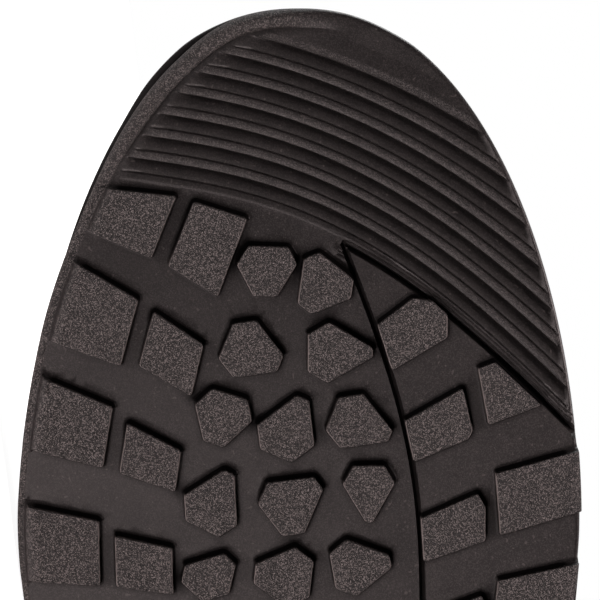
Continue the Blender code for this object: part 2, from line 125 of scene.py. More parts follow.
# Sole edge, and the rings of its wall by share of the wall's height
EDGE_LEAN = 0.6
OUTSOLE_STEP = 1.1
STEP_AT_TIP = 0.2
STEP_GROWN_BEHIND = 10.0
LIP_FALL = 0.45
LIP_FALL_BEHIND = 14.0
LIP_FALL_RUN = 11.0
MIDSOLE_TOE_TUCK = 0.7
TOE_TUCK_RUN = 9.0
STEP_FULL_BEHIND = 34.0
STEP_GONE_BEHIND = 66.0
STEP_GONE_MEDIAL = 8.0
SIDE_RINGS = (0.4, 0.9, 1.0)

# Ribs of the toe
RIB_COUNT = 7
RIB_DEPTH = 1.5
RIB_SOFT_END = 4.5
RIB_MEDIAL_END = 1.0
RIB_LINE_STEP = 1.6
RIB_CURVE_DEGREE = 4
RIB_STATIONS = table(
    "across last_behind pitch",
    (-46.0, 27.9, 4.6),
    (-30.0, 30.0, 4.7),
    (-16.0, 32.8, 4.8),
    (0.0, 37.6, 4.9),
    (14.0, 43.7, 5.1),
    (28.0, 53.1, 5.5),
    (42.0, 65.0, 6.1),
    (58.0, 80.0, 6.6),
)

# A groove behind a rib, by share of the pitch: a steep drop, a ramp that flattens out, a crease before
# the next rib's band
GROOVE = table(
    "share depth",
    (0.00, 0.00), (0.03, 0.92), (0.06, 1.00), (0.11, 0.80), (0.17, 0.60), (0.24, 0.39),
    (0.32, 0.25), (0.41, 0.16), (0.50, 0.13), (0.58, 0.12), (0.635, 0.32), (0.675, 0.00),
    (0.74, -0.05), (0.82, -0.08), (0.90, -0.08), (0.96, -0.05), (1.00, 0.00),
)
BAND_START = 0.68
BAND_LEAST_FADE = 0.1
RIB_GLOSS_FADE = 0.5
TOE_SLOPE_DEPTH = 0.3
TOE_SLOPE_RUN = 14.0

# Rim of the tread: its width along each side by distance behind the toe tip, and its rounded edge
RIM = table(
    "behind lateral medial",
    (0.0, 3.7, 3.7),
    (5.0, 3.7, 3.6),
    (9.0, 3.7, 2.6),
    (17.0, 3.6, 1.1),
    (24.0, 3.3, 0.7),
    (30.0, 2.8, 0.6),
    (40.0, 2.2, 0.5),
    (116.0, 1.2, 0.4),
)
RIM_ROLL = 1.15
RIM_ROLL_FULL = 25.0
RIM_ROLL_RUN = 12.0
RIM_CREASE = 0.35
RIM_CREASE_WIDTH = 0.5
RIM_FADE_START = -12.0
RIM_FADE_RUN = 24.0
RIM_ROUND = {"lateral": 1.6, "medial": 0.8}
RIM_DROP = 0.9
RIM_RINGS = (0.12, 0.35, 0.7, 1.2, 1.8, 2.6, 3.7, 4.8)

# Lugs: offset out from the top's outline and share of the lug's height there, from top to ground. Walls are
# steep, but on the toe side they lean
LUG_WALL = table(
    "out side toe",
    (-0.12, 1.000, 1.000),
    (0.00, 0.965, 0.975),
    (0.10, 0.800, 0.450),
    (0.22, 0.240, 0.410),
    (0.32, 0.030, 0.360),
    (0.55, 0.008, 0.200),
    (0.80, 0.002, 0.070),
    (1.20, 0.000, 0.000),
)
TOE_FACING = 0.2
TOE_FACING_RUN = 0.4
LUG_INNER_RING = -0.4
LUG_CORNER = 0.5
LUG_CORNER_STEPS = 3
LUG_CORNER_SHARE = 0.4
LUG_EDGE_STEP = 3.0
ROLL_WIDTH = {"lateral": 3.0, "medial": 1.4}
ROLL_LOW = {"lateral": 0.14, "medial": 0.70}
PROUD_WIDTH = 3.0
LUG_PROUD = 0.4
LUG_GRAIN_START = 0.45
LUG_GRAIN_FULL = 0.95
# Painted shade: the smooth rubber is darkened and its gloss dimmed within this reach of a lug's wall, most
# in the narrow channels between lugs
PAINTED_SHADE_REACH = 3.4
# Painted shade at the foot of a lug's toe-side wall: how much more, how far out it stays full, and over
# what it fades
TOE_WALL_SHADE = 1.2
TOE_WALL_SHADE_FULL = 0.45
TOE_WALL_SHADE_RUN = 0.4
# Painted highlight: a light line just outside a lug's top along its flank edges, not on its toe or heel
# sides
HIGHLIGHT_OUT = 0.04
HIGHLIGHT_WIDTH = 0.11
HIGHLIGHT_TOE_FACING = 0.1
HIGHLIGHT_HEEL_FACING = -0.95
HIGHLIGHT_FACING_RUN = 0.35
RIM_GRAIN = 0.85
RIM_GRAIN_EDGE = 0.4
BAND_GRAIN = 0.25
GRID_STEP = 1.9
GRID_CLEAR = 0.75
GRID_HALF_WIDTH = 60.0
SHARP_ANGLE = math.radians(38.0)
# Vertex layers of the tread's looks: grain, painted shade near the lugs, painted highlight on lug flank
# edges, and the ribbed zone
TREAD_LAYERS = ("grain", "gap", "worn", "ribbed")

# Guide lines of the block columns: distance in from the sole's own edge, at the front and at the ball
GUIDE_FRONT_BEHIND = 36.0
GUIDE_BALL_BEHIND = 116.0
GUIDES = {
    "lateral_edge": (-1.0, -1.0),
    "lateral_outer": (18.4, 16.0),
    "lateral_inner_start": (22.6, 19.4),
    "lateral_inner_end": (34.6, 30.6),
    "medial_outer_start": (20.0, 15.4),
    "medial_edge": (-LUG_PROUD, -LUG_PROUD),
}

# Blocks of the side columns: how far behind the toe the front outer, front inner, back inner and back outer
# corners lie
LATERAL_OUTER_BLOCKS = [
    (35.3, 37.3, 49.5, 42.5),
    (48.6, 57.9, 71.1, 65.0),
    (72.4, 79.5, 91.6, 87.4),
    (99.1, 102.6, 115.7, 114.7),
    (123.0, 124.5, 136.5, 136.5),
]
LATERAL_INNER_BLOCKS = [
    (38.4, 41.7, 57.2, 51.1),
    (60.4, 66.9, 77.1, 71.1),
    (82.8, 88.3, 96.5, 92.7),
    (105.7, 108.1, 117.5, 115.9),
    (125.0, 126.0, 136.5, 136.5),
]
MEDIAL_OUTER_BLOCKS = [
    (88.2, 92.9, 105.3, 100.4),
    (111.2, 114.7, 125.5, 124.0),
]

# Blocks beside the seam, and the one cut off by the ribs: corner places behind the toe and across
SEAM_BLOCKS = [
    [(62.9, 15.6), (57.6, 22.6), (58.2, 26.4), (61.0, 29.4), (65.4, 29.4), (71.9, 18.5)],
    [(82.2, 21.1), (75.7, 32.6), (84.2, 34.5), (85.8, 33.7), (90.4, 22.9)],
    [(102.0, 24.4), (97.0, 35.7), (99.6, 37.2), (106.5, 37.2), (110.8, 25.0)],
    [(122.0, 25.3), (117.8, 36.6), (120.0, 37.6), (127.0, 36.4), (130.5, 25.3)],
    [(71.7, 35.8), (70.4, 39.0), (79.0, 48.2), (82.9, 37.9)],
]

# Centre lugs: triangles of equal sides with cut corners, each turned its own way
CENTRE_LUGS = table(
    "behind across side turn cut_1 cut_2 cut_3",
    (51.9, -6.8, 15.9, 88, 3.7, 4.5, 4.3),
    (54.9, 4.7, 15.5, 52, 3.8, 3.4, 3.1),
    (68.1, -10.3, 16.9, 38, 3.5, 4.8, 4.6),
    (68.4, 6.5, 16.6, 60, 1.8, 4.4, 4.7),
    (81.3, -15.6, 16.2, 73, 4.4, 4.1, 4.6),
    (82.5, 11.0, 16.5, 39, 2.3, 4.7, 4.8),
    (84.8, -2.5, 17.2, 7, 5.6, 4.9, 2.5),
    (99.6, -17.8, 16.7, 3, 4.3, 5.1, 2.2),
    (99.2, -2.1, 17.0, 97, 3.0, 4.3, 4.7),
    (95.5, 13.8, 14.4, 91, 4.1, 1.2, 4.2),
    (114.5, -18.1, 14.7, 107, 3.2, 5.4, 3.5),
    (114.0, -2.7, 17.0, 113, 4.6, 5.0, 4.0),
    (112.0, 11.2, 15.9, 70, 2.5, 4.4, 4.3),
    (128.5, -14.0, 15.5, 20, 4.0, 4.6, 3.4),
    (129.0, 2.4, 16.5, 84, 3.2, 4.4, 4.6),
    (126.0, 17.6, 13.5, 41, 3.0, 4.2, 4.4),
)

# Heel tread: rows of blocks, each row across the outline in three
HEEL_ROWS = [(9.0, 21.0), (25.0, 41.0), (45.0, 59.0), (63.0, 76.0)]
HEEL_COLUMNS = [(-0.94, -0.42), (-0.32, 0.32), (0.42, 0.94)]

# The raised medial plate, the seam beside it, and the lip between its toe edge and the last rib
PLATE_RISE = 0.8
PLATE_LIP = 1.0
PLATE_BACK_BEHIND = 138.0
SEAM_WIDTH = 1.2
SEAM_DEPTH = 2.6
SEAM_EDGE_DEPTH = 0.6
SEAM_EDGE_RUN = 2.5
SEAM_CURVE_DEGREE = 4
SEAM_LINE_STEP = 1.5
SEAM_WALL = 0.12
SEAM_RINGS = (0.0, SEAM_WIDTH / 4.0, SEAM_WIDTH / 2.0, SEAM_WIDTH / 2.0 + SEAM_WALL, SEAM_WIDTH)
LIP_LINES = (1.0, 1.6, 2.2)
LIP_LINE_WIDTH = 0.2
LIP_LINE_HEIGHT = 0.24
SEAM = table(
    "behind across",
    (47.0, 8.6), (58.3, 12.7), (64.5, 15.4), (74.8, 18.7), (84.9, 21.1), (93.0, 22.8),
    (102.0, 24.0), (112.7, 24.6), (PLATE_BACK_BEHIND, 24.9),
)

# Upper: its wall, the collar's rings by share of the wall and rise, and sections from the feather edge,
# 0.2 mm lower than in the part's source, to the collar
WALL = 2.8
COLLAR_RINGS = ((0.2, 0.7), (0.5, 1.0), (0.8, 0.7))
UPPER_INSET = 3.6
INSOLE_CLEAR = 1.8
TRIM_RISE = 4.0
RING_POINTS = 224
RING_STEPS = 10
OVAL_POWER = 2.25
SHAFT_FOOT = (0.00, 16.0, 52.0)
SECTIONS = table(
    "sole inset rise back_z front_z back front lateral medial widest",
    (1.00, UPPER_INSET, GAP, 0, 0, 4, 302, 50, 50, 0.66),
    (1.00, UPPER_INSET, TRIM_RISE, 0, 0, 4, 302, 50, 50, 0.66),
    (1.00, 2.6, 11.0, 0, 0, 3, 303, 50, 50, 0.66),
    (1.00, 3.4, 20.0, 50, 46, 3, 302, 50, 50, 0.66),
    (0.72, 5.0, 29.0, 60, 53, 3, 293, 46, 48, 0.66),
    (0.38, 9.0, 38.0, 70, 60, 5, 279, 42, 45, 0.60),
    (0.14, 13.0, 46.0, 80, 67, 7, 259, 39, 42, 0.50),
    (*SHAFT_FOOT, 90, 76, 10, 236, 36, 41, 0.42),
    (*SHAFT_FOOT, 101, 87, 13, 212, 35, 41, 0.40),
    (*SHAFT_FOOT, 114, 101, 15, 190, 35, 41, 0.42),
    (*SHAFT_FOOT, 129, 119, 16, 172, 36, 42, 0.46),
    (*SHAFT_FOOT, 146, 140, 15, 159, 38, 44, 0.50),
    (*SHAFT_FOOT, 168, 166, 12, 151, 40, 46, 0.50),
    (*SHAFT_FOOT, 200, 201, 8, 146, 42, 48, 0.50),
    (*SHAFT_FOOT, 236, 240, 5, 143, 44, 50, 0.50),
    (*SHAFT_FOOT, 270, 276, 2, 141, 46, 52, 0.50),
    (*SHAFT_FOOT, 300, 308, 1, 140, 47, 53, 0.50),
)

# Creases of the upper, as lines of its side view from the back: soft troughs, each with a low ridge
# above it
CREASES = table(
    "start_x start_z end_x end_z depth width",
    (98.0, 129.0, 198.0, 107.0, 1.7, 4.6),
    (92.0, 148.0, 188.0, 128.0, 1.4, 4.4),
    (112.0, 110.0, 220.0, 84.0, 1.0, 4.2),
    (-8.0, 112.0, 62.0, 126.0, 1.3, 4.4),
    (-8.0, 133.0, 54.0, 141.0, 1.0, 4.2),
    (202.0, 44.0, 240.0, 98.0, 0.9, 3.8),
    (215.0, 42.0, 254.0, 90.0, 0.7, 3.6),
    (20.0, 182.0, 124.0, 172.0, 0.8, 7.0),
    (60.0, 214.0, 168.0, 226.0, 0.7, 8.0),
)
CREASE_FADE = 0.3
CREASE_RIDGE = 0.35
CREASE_RIDGE_ABOVE = 2.0
CREASE_RIDGE_WIDTH = 1.2

# Stitches of the upper: a row round the collar and one on each side of the plain back seam
COLLAR_HEM = 11.0
SEAM_ROW_COLUMN = 2
SEAM_LOW_Z = 66.0
STITCH_PITCH = 4.4
STITCH_HALF = (1.6, 0.36, 0.30)
CORD_HALF = (1.2, 0.55, 0.35)
STITCH_SIDES = 6
STITCH_RINGS = np.radians((-75.0, -35.0, 0.0, 35.0, 75.0))

# Camera: square to the tread but for a tilt towards the toe, toe up in the picture
CAMERA_TARGET = Vector((248.15, 0.0, 1.30))
CAMERA_TILT = math.radians(7.0)
CAMERA_DISTANCE = 900.0
FRAME_WIDTH = 120.0
SENSOR_WIDTH = 36.0

# Studio
FLOOR_GLOW = 0.92
FLOOR_HALF = 1.5
FLOOR_DROP = 0.0002
WORLD_TO_CAMERA = 1.0
WORLD_TO_BOOT = 0.006
WHITE = (1.0, 1.0, 1.0)
KEY_COLOUR = (1.0, 0.85, 0.84)
ROOM_MIDDLE = Vector((0.0, 0.0, 0.05))

# Softboxes that face the tread: moved across and up in the picture and towards the camera, in millimetres
FRONT_LIGHTS = table(
    "name across up distance size power",
    ("key", -190.0, -350.0, 950.0, 0.16, 6.5),
    ("left", -1000.0, -520.0, 200.0, 0.4, 13.0),
    ("right", 1000.0, 80.0, 110.0, 0.4, 12.0),
)

# Softboxes over and behind the boot, in metres of the frame
ROOM_LIGHTS = table(
    "name place size power",
    ("overhead", (0.2, 1.5, 1.3), 1.4, 13.0),
    ("back", (-1.4, 1.2, 0.9), 1.0, 30.0),
)

# Rubber: colours, the part of a texture's range that shows, and how strongly
RUBBER_DARK = (0.0075, 0.0069, 0.0070)
RUBBER_LIGHT = (0.016, 0.0148, 0.0147)
Tint = namedtuple("Tint", "colour span share")
FLECKS = Tint((0.064, 0.059, 0.058), (0.45, 0.85), 0.35)
DUST = Tint((0.120, 0.108, 0.104), (0.76, 0.82), 0.3)
# Painted shade near the lugs: the colour it darkens to, the range of the layer that shows, and how strongly
PAINTED_SHADE = Tint((0.002, 0.0019, 0.0020), (0.55, 1.6), 0.95)
# Painted highlight on the lug flank edges
PAINTED_HIGHLIGHT = Tint((0.150, 0.134, 0.128), (0.1, 0.9), 0.8)
GRAIN_DARK = (0.003, 0.0028, 0.0027)
GRAIN_LIGHT = (0.130, 0.1175, 0.114)
GRAIN_SPAN = (0.52, 0.84)
# The gloss left in the deepest painted shade near the lugs
PAINTED_SHADE_GLOSS = 0.10
SMOOTH_GLOSS = 0.13
RIB_GLOSS = 0.28
GRAIN_GLOSS = 0.46
GRAIN_ROUGHNESS = (0.41, 0.60)
GRAIN_BUMP = (0.08, 0.7)

# Leather, and the plain looks
WHOLE = (0.0, 1.0)
CLOUD_SPAN = (0.3, 0.7)
BUMP_DISTANCE = 0.0003
LEATHER_DARK = (0.012, 0.011, 0.010)
LEATHER_LIGHT = (0.026, 0.023, 0.021)
LEATHER_ROUGHNESS = (0.40, 0.52)
LEATHER_BUMP = 0.35
PLAIN_GLOSS = 0.15
PLAIN_LOOKS = table(
    "name dark light roughness scale bump",
    # The midsole is black rubber, made darker than the tread's as painted shade in the gap between them
    ("midsole_rubber_look", (0.003, 0.0029, 0.0029), (0.006, 0.0058, 0.0058), 0.7, 900.0, 0.2),
    ("insole_board_look", (0.09, 0.07, 0.055), (0.18, 0.145, 0.11), 0.9, 700.0, 0.5),
    ("lining_look", (0.02, 0.019, 0.018), (0.04, 0.037, 0.035), 0.9, 800.0, 0.4),
    ("thread_look", (0.012, 0.011, 0.011), (0.030, 0.028, 0.027), 0.6, 2500.0, 0.3),
)


# Small helpers

def boot_to_frame():
    """From the standing boot to the frame: on its lateral side, sole towards -Y, toe towards -X."""
    on_side = Matrix(((-1, 0, 0), (0, 0, 1), (0, 1, 0)))
    turn = on_side @ Matrix.Rotation(LIE_ROLL, 3, "X") @ Matrix.Rotation(LIE_YAW, 3, "Z")
    return Matrix.Translation(LIE_PLACE) @ turn.to_4x4()


BOOT_TO_FRAME = boot_to_frame()


def ease(start, end, share):
    """Half a cosine wave from start to end."""
    share = np.clip(share, 0.0, 1.0)
    return start + (end - start) * (1.0 - np.cos(np.pi * share)) / 2.0


def growing(share):
    return ease(0.0, 1.0, share)


def fading(share):
    return ease(1.0, 0.0, share)


def between(value, low, high):
    return (value - low) / (high - low)


def bump_line(distance, width):
    """A soft ridge about a line: 1 on it, 0 well away from it."""
    return np.exp(-(distance / width) ** 2)


def quarter_round(share):
    """Rises from 0 as a quarter of a circle, and levels out at 1."""
    share = np.clip(share, 0.0, 1.0)
    return np.sqrt(1.0 - (1.0 - share) ** 2)


def unit(vectors):
    return vectors / np.linalg.norm(vectors, axis=-1, keepdims=True)


# Sole plan and heights

def half_width(x, side):
    """Distance from the sole's centre line to its edge on one side."""
    toe = np.clip(between(x, BALL_X, SOLE_LENGTH), 0.0, 1.0)
    toe_width = BALL[side] * (1.0 - toe ** TOE_LENGTH_POWER[side]) ** (1.0 / TOE_WIDTH_POWER[side])
    heel = np.clip(between(x, HEEL_X, 0.0), 0.0, 1.0)
    heel_width = HEEL_HALF_WIDTH * (1.0 - heel ** HEEL_POWER) ** (1.0 / HEEL_POWER)
    front = ease(WAIST[side], BALL[side], between(x, WAIST_X, BALL_X))
    back = ease(HEEL_HALF_WIDTH, WAIST[side], between(x, HEEL_X, WAIST_X))
    middle = np.where(x >= WAIST_X, front, back)
    return np.where(x >= BALL_X, toe_width, np.where(x >= HEEL_X, middle, heel_width))


def centre_line(x):
    return ease(HEEL_OFFSET, 0.0, between(x, HEEL_X, BALL_X))


def edge(x, side):
    """The sole's edge across from the axis, negative on the lateral side."""
    sign = -1.0 if side == "lateral" else 1.0
    return centre_line(x) + sign * half_width(x, side)


def sole_loop(count):
    """The sole's outline from the back of the heel along the lateral side to the toe and back."""
    index = np.arange(count)
    x = SOLE_LENGTH * (1.0 - np.cos(2.0 * np.pi * index / count)) / 2.0
    y = np.where(index <= count // 2, edge(x, "lateral"), edge(x, "medial"))
    return np.column_stack((x, y))


def offset_loop(loop, distance):
    """Moves each edge of a counter-clockwise loop outwards by the distance."""
    before = unit(loop - np.roll(loop, 1, axis=0))
    after = unit(np.roll(loop, -1, axis=0) - loop)
    first = np.column_stack((before[:, 1], -before[:, 0]))
    second = np.column_stack((after[:, 1], -after[:, 0]))
    mitre = (first + second) / (1.0 + (first * second).sum(axis=1, keepdims=True))
    return loop + mitre * np.reshape(distance, (-1, 1))


def step_share(loop):
    """How far the step between outsole and midsole shows: along the lateral side of the toe."""
    behind = SOLE_LENGTH - loop[:, 0]
    lateral = fading(between(behind, STEP_FULL_BEHIND, STEP_GONE_BEHIND))
    medial = fading(behind / STEP_GONE_MEDIAL)
    return np.where(np.arange(len(loop)) <= len(loop) // 2, lateral, medial)


def outsole_loop():
    """The tread's outline: inside the sole's along the step, which grows from the toe tip backwards."""
    loop = sole_loop(OUTLINE_POINTS)
    grown = ease(STEP_AT_TIP, 1.0, (SOLE_LENGTH - loop[:, 0]) / STEP_GROWN_BEHIND)
    return offset_loop(loop, -OUTSOLE_STEP * step_share(loop) * grown)


def midsole_loop():
    """The midsole's outline: past the tread's along the step, but tucked in behind the toe tip."""
    loop = sole_loop(OUTLINE_POINTS)
    behind = SOLE_LENGTH - loop[:, 0]
    tuck = ease(MIDSOLE_TOE_TUCK, 0.0, behind / TOE_TUCK_RUN)
    lip = ease(0.0, -LIP_FALL, (behind - LIP_FALL_BEHIND) / LIP_FALL_RUN)
    return offset_loop(loop, (lip + EDGE_LEAN) * step_share(loop) - EDGE_LEAN - tuck)


def spring(x):
    return TOE_SPRING * np.clip(between(x, SOLE_LENGTH - SPRING_RUN, SOLE_LENGTH), 0.0, None) ** 2


def arch(x):
    rise = ease(0.0, ARCH_RISE, between(x, ARCH_HEEL_X, ARCH_PEAK_X))
    fall = ease(ARCH_RISE, 0.0, between(x, ARCH_PEAK_X, ARCH_FRONT_X))
    return np.where(x < ARCH_PEAK_X, rise, fall)


def tread_base(x):
    """Height of the smooth tread between the lugs."""
    return LUG_HEIGHT + spring(x) + arch(x)


def outsole_top(x):
    forefoot = LUG_HEIGHT + FOREFOOT_THICKNESS + spring(x)
    return ease(HEEL_TOP, forefoot, between(x, HEEL_TOP_X, FOREFOOT_TOP_X))


def midsole_top(x):
    return outsole_top(x) + GAP + MIDSOLE_THICKNESS


# Paths and distances on the tread

def place(behind, across):
    return np.array((SOLE_LENGTH - behind, across))


def counter_clockwise(loop):
    x, y = loop.T
    area = np.sum(x * np.roll(y, -1) - np.roll(x, -1) * y)
    return loop if area > 0 else loop[::-1]


def rounded(outline, radius):
    """An outline with each corner turned into a curve."""
    points = []
    for index, corner in enumerate(outline):
        before = outline[index - 1] - corner
        after = outline[(index + 1) % len(outline)] - corner
        shorter = min(np.linalg.norm(before), np.linalg.norm(after))
        reach = min(radius, LUG_CORNER_SHARE * shorter)
        start = corner + unit(before) * reach
        end = corner + unit(after) * reach
        for t in np.linspace(0.0, 1.0, LUG_CORNER_STEPS + 1):
            points.append((1 - t) ** 2 * start + 2 * t * (1 - t) * corner + t ** 2 * end)
    return np.array(points)


def divided(loop, step):
    """A closed loop with its long edges split."""
    points = []
    for start, end in zip(loop, np.roll(loop, -1, axis=0)):
        count = max(1, math.ceil(np.linalg.norm(end - start) / step))
        points += [start + (end - start) * index / count for index in range(count)]
    return np.array(points)


def path_distance(points, path):
    """Distance from each point to the nearest place on an open path."""
    nearest = np.full(len(points), np.inf)
    for start, end in zip(path, path[1:]):
        along = end - start
        share = np.clip((points - start) @ along / (along @ along), 0.0, 1.0)
        nearest = np.minimum(nearest, np.linalg.norm(points - start - share[:, None] * along, axis=1))
    return nearest


def inside(points, loop):
    """Whether each point lies in a closed loop, by counting the edges to one side of it."""
    odd = np.zeros(len(points), bool)
    for start, end in zip(loop, np.roll(loop, -1, axis=0)):
        crosses = (start[1] > points[:, 1]) != (end[1] > points[:, 1])
        rise = end[1] - start[1]
        if rise != 0.0:
            at = start[0] + (points[:, 1] - start[1]) * (end[0] - start[0]) / rise
            odd ^= crosses & (points[:, 0] < at)
    return odd


def depth_in(points, loop):
    """Distance to a closed loop, positive inside it."""
    distance = path_distance(points, np.vstack((loop, loop[:1])))
    return np.where(inside(points, loop), distance, -distance)


# Tread layout

def guide_place(behind, guide, side):
    """A point on a column's guide line, which runs along the sole's edge."""
    share = between(behind, GUIDE_FRONT_BEHIND, GUIDE_BALL_BEHIND)
    at_front, at_ball = GUIDES[guide]
    inset = at_front + share * (at_ball - at_front)
    sign = 1.0 if side == "lateral" else -1.0
    return place(behind, edge(SOLE_LENGTH - behind, side) + sign * inset)


def column_outlines(blocks, outer, inner, side):
    guides = (outer, inner, inner, outer)
    for block in blocks:
        yield [guide_place(behind, guide, side) for behind, guide in zip(block, guides)]


def centre_outline(lug):
    """A triangle turned about its middle, with each corner cut off."""
    middle = place(lug.behind, lug.across)
    corners = []
    for index in range(3):
        angle = math.radians(lug.turn - 60.0 - 120.0 * index)
        corners.append(middle + lug.side / math.sqrt(3.0) * np.array((math.sin(angle), math.cos(angle))))
    outline = []
    for index, cut in enumerate((lug.cut_1, lug.cut_2, lug.cut_3)):
        for neighbour in (corners[index - 1], corners[(index + 1) % 3]):
            outline.append(corners[index] + unit(neighbour - corners[index]) * cut)
    return outline


def heel_outlines():
    for back, front in HEEL_ROWS:
        for low, high in HEEL_COLUMNS:
            corners = []
            for x, share in ((back, low), (front, low), (front, high), (back, high)):
                side = "lateral" if share < 0 else "medial"
                corners.append(np.array((x, centre_line(x) + share * half_width(x, side))))
            yield corners


Lug = namedtuple("Lug", "top rolled_side")


def make_lug(outline, rolled_side=None):
    top = rounded(counter_clockwise(np.array(outline)), LUG_CORNER)
    return Lug(divided(top, LUG_EDGE_STEP), rolled_side)


def make_lugs():
    """Every lug's top outline, and the sole's side that it rolls over to, if any."""
    inner = column_outlines(LATERAL_INNER_BLOCKS, "lateral_inner_start", "lateral_inner_end", "lateral")
    seam = [[place(*corner) for corner in corners] for corners in SEAM_BLOCKS]
    centre = [centre_outline(lug) for lug in CENTRE_LUGS]
    lateral = column_outlines(LATERAL_OUTER_BLOCKS, "lateral_edge", "lateral_outer", "lateral")
    medial = column_outlines(MEDIAL_OUTER_BLOCKS, "medial_edge", "medial_outer_start", "medial")
    lugs = [make_lug(outline) for outline in (*inner, *seam, *centre, *heel_outlines())]
    lugs += [make_lug(outline, "lateral") for outline in lateral]
    return lugs + [make_lug(outline, "medial") for outline in medial]


def station_curve(name):
    """A smooth curve through one column of the rib stations, over the distance across."""
    return np.polyfit(column_of(RIB_STATIONS, "across"), column_of(RIB_STATIONS, name), RIB_CURVE_DEGREE)


RIB_LAST = station_curve("last_behind")
RIB_PITCH = station_curve("pitch")


def rib_phase(points):
    """Counts ribs from 0 at the toe, whole at each rib's heel-side edge."""
    last = np.polyval(RIB_LAST, points[:, 1])
    pitch = np.polyval(RIB_PITCH, points[:, 1])
    return (SOLE_LENGTH - points[:, 0] - last) / pitch + RIB_COUNT - 1


def rib_line(phase, across):
    """The line across the toe where the ribs have this phase."""
    behind = np.polyval(RIB_LAST, across) + (phase - RIB_COUNT + 1) * np.polyval(RIB_PITCH, across)
    return np.column_stack((SOLE_LENGTH - behind, across))


def seam_path():
    behind = column_of(SEAM, "behind")
    curve = np.polyfit(behind, column_of(SEAM, "across"), SEAM_CURVE_DEGREE)
    along = np.arange(behind[0], behind[-1], SEAM_LINE_STEP)
    return np.column_stack((SOLE_LENGTH - along, np.polyval(curve, along)))


def plate_toe_path():
    across = np.arange(SEAM[0].across, BALL["medial"] + SEAM_LINE_STEP, SEAM_LINE_STEP)
    line = rib_line(RIB_COUNT, across)
    return line - np.array((PLATE_LIP, 0.0))


def offset_path(path, distance):
    """An open path moved to its left."""
    along = unit(np.gradient(path, axis=0))
    return path + distance * np.column_stack((-along[:, 1], along[:, 0]))


# Tread relief

def rim_width(points):
    behind = SOLE_LENGTH - points[:, 0]
    lateral, medial = [look_up(RIM, behind, "behind", side) for side in SIDES]
    return np.where(points[:, 1] < 0.0, lateral, medial)


def rib_relief(points, from_rim):
    """Grooves between the toe's ribs, and whether each point lies on a rib's grained band."""
    phase = rib_phase(points)
    share = phase - np.floor(phase)
    groove = look_up(GROOVE, share, "share", "depth")
    soft = np.where(points[:, 1] < 0.0, RIB_SOFT_END, RIB_MEDIAL_END)
    fade = growing(from_rim / soft)
    ribbed = (phase >= 0.0) & (phase < RIB_COUNT)
    height = np.where(ribbed, -RIB_DEPTH * groove * fade, 0.0)
    toe_slope = np.clip((BAND_START - 1.0 - phase) / BAND_START, 0.0, 1.0)
    height -= TOE_SLOPE_DEPTH * toe_slope * growing(points[:, 1] / TOE_SLOPE_RUN)
    banded = (phase > BAND_START - 1.0) & (phase < RIB_COUNT - 1) & (share > BAND_START)
    return height, banded & (fade > BAND_LEAST_FADE)


def plate_relief(points, from_edge):
    """The raised medial plate, the groove on two of its sides and the fine lines of its lip."""
    seam = seam_path()
    toe_edge = plate_toe_path()
    corner = place(PLATE_BACK_BEHIND, BALL["medial"] + SEAM_LINE_STEP)
    plate = counter_clockwise(np.vstack((seam[::-1], toe_edge, corner)))
    from_toe_edge = path_distance(points, toe_edge)
    groove_at = np.minimum(path_distance(points, seam), from_toe_edge)
    on_plate = inside(points, plate)
    height = np.where(on_plate, PLATE_RISE, 0.0)
    height *= fading((SOLE_LENGTH - points[:, 0] - PLATE_BACK_BEHIND) / RIB_SOFT_END)
    height *= np.clip((groove_at - SEAM_WIDTH / 2.0) / SEAM_WALL, 0.0, 1.0)
    depth = ease(SEAM_EDGE_DEPTH, SEAM_DEPTH, from_edge / SEAM_EDGE_RUN)
    height -= depth * np.clip(1.0 - groove_at / (SEAM_WIDTH / 2.0), 0.0, 1.0)
    toe_side = np.where(on_plate, np.inf, from_toe_edge)
    for line in LIP_LINES:
        height += LIP_LINE_HEIGHT * bump_line(toe_side - line, LIP_LINE_WIDTH)
    return height


def rim_strength(points):
    """The rolled rim runs along the lateral side and fades out past the toe tip."""
    return fading((points[:, 1] - RIM_FADE_START) / RIM_FADE_RUN)


def edge_relief(points, from_edge):
    """The rolled rim, and how the tread rounds away towards the sole's edge."""
    lateral, medial = [quarter_round(from_edge / RIM_ROUND[side]) for side in SIDES]
    rolled = rim_strength(points)
    rim = rim_width(points)
    roll = RIM_ROLL * rolled * np.sin(np.pi * np.clip(from_edge / rim, 0.0, 1.0))
    roll -= RIM_CREASE * rolled * bump_line(from_edge - rim, RIM_CREASE_WIDTH)
    roll *= fading((SOLE_LENGTH - points[:, 0] - RIM_ROLL_FULL) / RIM_ROLL_RUN)
    return roll - RIM_DROP * (1.0 - medial + rolled * (medial - lateral))


